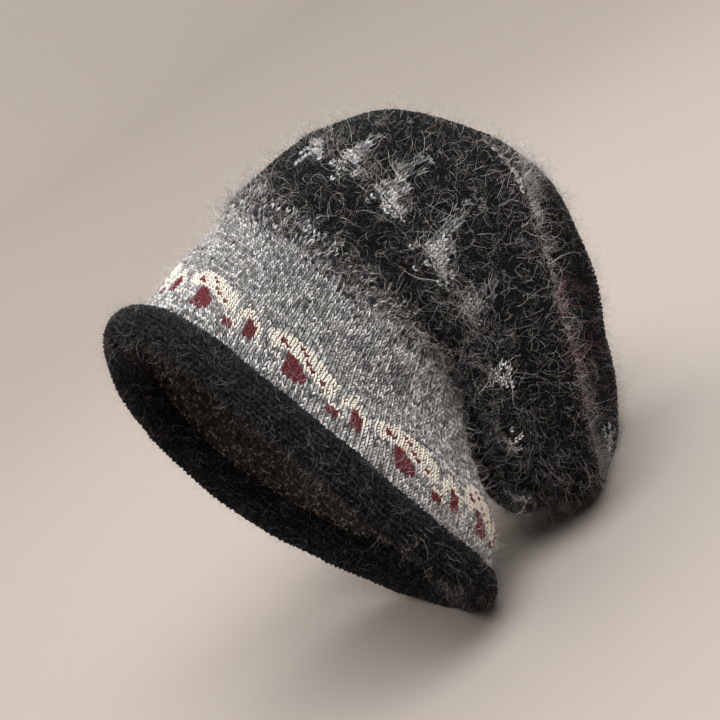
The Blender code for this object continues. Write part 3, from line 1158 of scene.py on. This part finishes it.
# A lamp hangs up the picture, towards the camera and to the right by these shares, and this far off in
# metres. Its size is a width in metres, or a sun's spread in degrees.
Lamp = namedtuple("Lamp", "name kind up towards right distance size power")

LAMPS = [
    Lamp("key_light", "AREA", 0.6, 0.75, -0.2, 1.6, 0.9, 9.0),
    Lamp("rim_light", "AREA", 0.8, -0.5, -0.35, 1.3, 1.0, 4.5),
    Lamp("soft_sun", "SUN", 0.6, 0.75, -0.2, 1.6, 50.0, 2.5),
]
WORLD_COLOUR = (0.80, 0.76, 0.72, 1.0)


class BEANIE_OT_stage(bpy.types.Operator):
    """Lays the studio paper, hangs the lights and sets the camera"""

    bl_idname = "beanie.stage"
    bl_label = "Set the stage"

    # The photograph's view of the hat, in the upright hat's own directions
    view_turn = 17.7      # how far the camera stands round from the hat's near side, in degrees
    view_below = 12.0     # how far it looks up from under the rim's plane, in degrees
    view_angle = 20.0
    frame_width = 0.4176  # width of the view at the hat, in metres
    centre_side = -0.0039
    centre_up = 0.0725
    roll_side = 0.851
    roll_up = 0.525

    def hat_direction(self, back, up, near):
        """A direction of the upright hat, turned with the hat onto its back."""
        return Vector(lay_down(np.array([[back, -near, up]]))[0])

    def execute(self, context):
        scene = context.scene
        turn, below = math.radians(self.view_turn), math.radians(self.view_below)
        towards = self.hat_direction(
            -math.cos(below) * math.sin(turn), -math.sin(below), math.cos(below) * math.cos(turn))
        side = self.hat_direction(math.cos(turn), 0.0, math.sin(turn))
        rise = self.hat_direction(-math.sin(below) * math.sin(turn), math.cos(below),
                                  math.sin(below) * math.cos(turn))
        right = side * self.roll_side + rise * self.roll_up
        up = rise * self.roll_side - side * self.roll_up
        target = side * self.centre_side + rise * self.centre_up - Vector(ORIGIN * MM)
        distance = self.frame_width / 2 / math.tan(math.radians(self.view_angle) / 2)
        eye = target + towards * distance

        data = bpy.data.cameras.new("camera")
        data.angle = math.radians(self.view_angle)
        camera = bpy.data.objects.new("camera", data)
        scene.collection.objects.link(camera)
        camera.matrix_world = Matrix((
            (right.x, up.x, towards.x, eye.x),
            (right.y, up.y, towards.y, eye.y),
            (right.z, up.z, towards.z, eye.z),
            (0.0, 0.0, 0.0, 1.0),
        ))
        scene.camera = camera

        self.lay_paper(scene, up)
        for lamp in LAMPS:
            direction = (up * lamp.up + towards * lamp.towards + right * lamp.right).normalized()
            self.hang_lamp(scene, lamp, target + direction * lamp.distance, direction)
        scene.view_settings.view_transform = "Standard"

        world = bpy.data.worlds.new("studio")
        world.use_nodes = True
        background = world.node_tree.nodes["Background"]
        background.inputs["Color"].default_value = WORLD_COLOUR
        background.inputs["Strength"].default_value = 1.0
        scene.world = world
        return {"FINISHED"}

    def lay_paper(self, scene, up):
        """A seamless bowl of paper: a round floor that sweeps up into a wall on every side.

        The floor's reach, the radius of its sweep and the height of the wall above it are in metres.
        """
        reach, cove, height = 6.0, 3.0, 3.0
        sheet = bmesh.new()
        middle = sheet.verts.new((0.0, 0.0, 0.0))
        rim = sheet.verts.new((reach, 0.0, 0.0))
        sheet.edges.new((middle, rim))
        bmesh.ops.spin(
            sheet, geom=[rim], cent=(reach, 0.0, cove), axis=(0.0, -1.0, 0.0),
            angle=math.pi / 2, steps=16, use_merge=False, use_duplicate=False)
        top = max(sheet.verts, key=lambda vert: vert.co.z)
        raised = bmesh.ops.extrude_vert_indiv(sheet, verts=[top])["verts"]
        bmesh.ops.translate(sheet, verts=raised, vec=(0.0, 0.0, height))
        bmesh.ops.spin(
            sheet, geom=list(sheet.verts) + list(sheet.edges), cent=(0.0, 0.0, 0.0), axis=(0.0, 0.0, 1.0),
            angle=math.tau, steps=96, use_merge=True, use_duplicate=False)
        bmesh.ops.remove_doubles(sheet, verts=sheet.verts, dist=MERGE_DISTANCE)
        sheet.normal_update()
        hat = Vector((0.0, 0.0, 0.2))
        away = [face for face in sheet.faces if face.normal.dot(hat - face.calc_center_median()) < 0]
        bmesh.ops.reverse_faces(sheet, faces=away)
        data = sheet_data("studio_paper", sheet)
        data.shade_smooth()
        paper = bpy.data.objects.new("studio_paper", data)
        data.materials.append(painted_shade_paper(tuple(scene.beanie_yarns.paper), up))
        scene.collection.objects.link(paper)

    def hang_lamp(self, scene, lamp, location, direction):
        """A lamp at a place, which shines against the given direction."""
        data = bpy.data.lights.new(lamp.name, lamp.kind)
        data.energy = lamp.power
        if lamp.kind == "SUN":
            data.angle = math.radians(lamp.size)
        else:
            data.size = lamp.size
        light = bpy.data.objects.new(lamp.name, data)
        light.location = location
        light.rotation_euler = direction.to_track_quat("Z", "Y").to_euler()
        scene.collection.objects.link(light)


class BEANIE_PT_panel(bpy.types.Panel):
    """Lists the steps that make the hat and its settings"""

    bl_label = "Beanie"
    bl_space_type = "VIEW_3D"
    bl_region_type = "UI"
    bl_category = "Beanie"

    def draw(self, context):
        for step in STEPS:
            self.layout.operator(step.bl_idname)
        for group in (context.scene.beanie_knit, context.scene.beanie_yarns, context.scene.beanie_fuzz):
            box = self.layout.box()
            for name in group.__annotations__:
                box.prop(group, name)


STEPS = (
    BEANIE_OT_yarns,
    BEANIE_OT_brim,
    BEANIE_OT_band,
    BEANIE_OT_crown,
    BEANIE_OT_inside,
    BEANIE_OT_fuzz,
    BEANIE_OT_stage,
)
CLASSES = (BeanieKnit, BeanieYarns, BeanieFuzz, *STEPS, BEANIE_PT_panel)


def register():
    for added in CLASSES:
        bpy.utils.register_class(added)
    bpy.types.Scene.beanie_knit = bpy.props.PointerProperty(type=BeanieKnit)
    bpy.types.Scene.beanie_yarns = bpy.props.PointerProperty(type=BeanieYarns)
    bpy.types.Scene.beanie_fuzz = bpy.props.PointerProperty(type=BeanieFuzz)


def unregister():
    del bpy.types.Scene.beanie_knit
    del bpy.types.Scene.beanie_yarns
    del bpy.types.Scene.beanie_fuzz
    for added in reversed(CLASSES):
        bpy.utils.unregister_class(added)


def main():
    register()
    bpy.ops.beanie.yarns()
    bpy.ops.beanie.brim()
    bpy.ops.beanie.band()
    bpy.ops.beanie.crown()
    bpy.ops.beanie.inside()
    bpy.ops.beanie.fuzz()
    bpy.ops.beanie.stage()


if __name__ == "__main__":
    main()
